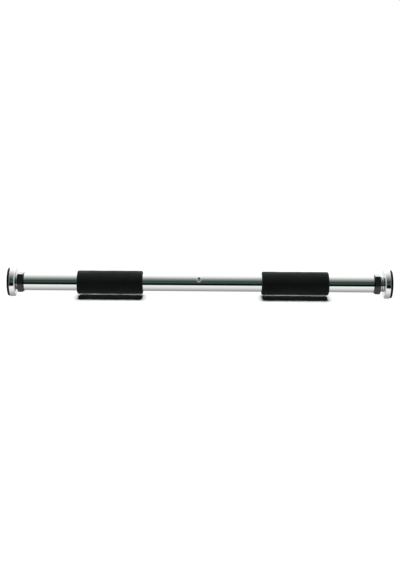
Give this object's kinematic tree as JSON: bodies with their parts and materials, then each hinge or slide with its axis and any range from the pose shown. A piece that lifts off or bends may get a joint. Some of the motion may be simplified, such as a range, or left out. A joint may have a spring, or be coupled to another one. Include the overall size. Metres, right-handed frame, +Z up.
{
  "type": "pull up bar",
  "caption": "Doorway pull up bar: chromed tube with two foam grips and, at each end, a sliding screwed tube driven by a hexagonal jack nut, with a steel cup and rubber pad.",
  "frame": {"origin": "on the bar's axis, half way between the two pad faces in the stored pose", "axes": "+X along the bar, +Z up, -Y towards the side that carries the centre screw"},
  "size_m": [0.6232, 0.048, 0.048],
  "materials": {
    "chrome_tube": "polished chrome plate on drawn steel tube",
    "chrome_cup": "polished chrome plate on a pressed steel cup",
    "screw_thread": "bright plated rolled thread, lightly greased",
    "zinc_steel": "zinc plated",
    "bare_steel": "machined",
    "bright_screw": "bright nickel plate",
    "black_nut": "gloss black enamel",
    "foam": "matt closed-cell foam with a fine skin",
    "rubber_pad": "satin black moulded rubber",
    "nylon": "natural nylon"
  },
  "bodies": {
    "bar": {"main_tube": "chrome_tube", "centre_sleeve": "zinc_steel", "centre_weld_nut": "bare_steel", "centre_screw": "bright_screw", "left_grip": "foam", "left_guide_pin": "chrome_tube", "left_thrust_washer": "black_nut", "right_grip": "foam", "right_guide_pin": "chrome_tube", "right_thrust_washer": "black_nut"},
    "left_nut": {"left_jack_nut": "black_nut"},
    "left_end": {"left_screw_tube": "screw_thread", "left_glide_cap": "nylon", "left_end_plug": "bare_steel", "left_cup": "chrome_cup", "left_spring_washer": "zinc_steel", "left_cup_bolt": "zinc_steel", "left_pad": "rubber_pad"},
    "right_nut": {"right_jack_nut": "black_nut"},
    "right_end": {"right_screw_tube": "screw_thread", "right_glide_cap": "nylon", "right_end_plug": "bare_steel", "right_cup": "chrome_cup", "right_spring_washer": "zinc_steel", "right_cup_bolt": "zinc_steel", "right_pad": "rubber_pad"}
  },
  "joints": [
    {"name": "left_end_slide", "type": "slide", "parent": "bar", "child": "left_end", "axis": [-1, 0, 0], "range_m": [-0.0017, 0.15]},
    {"name": "left_nut_turn", "type": "hinge", "parent": "bar", "child": "left_nut", "pos_m": [-0.2916, 0, 0], "axis": [1, 0, 0], "range_deg": [-206, 18002]},
    {"name": "right_end_slide", "type": "slide", "parent": "bar", "child": "right_end", "axis": [1, 0, 0], "range_m": [-0.0049, 0.1468]},
    {"name": "right_nut_turn", "type": "hinge", "parent": "bar", "child": "right_nut", "pos_m": [0.2884, 0, 0], "axis": [-1, 0, 0], "range_deg": [-590, 17618]}
  ],
  "couplings": [
    {"joint": "left_nut_turn", "follows": "left_end_slide", "rad_per_m": 2094.4},
    {"joint": "right_nut_turn", "follows": "right_end_slide", "rad_per_m": 2094.4}
  ]
}
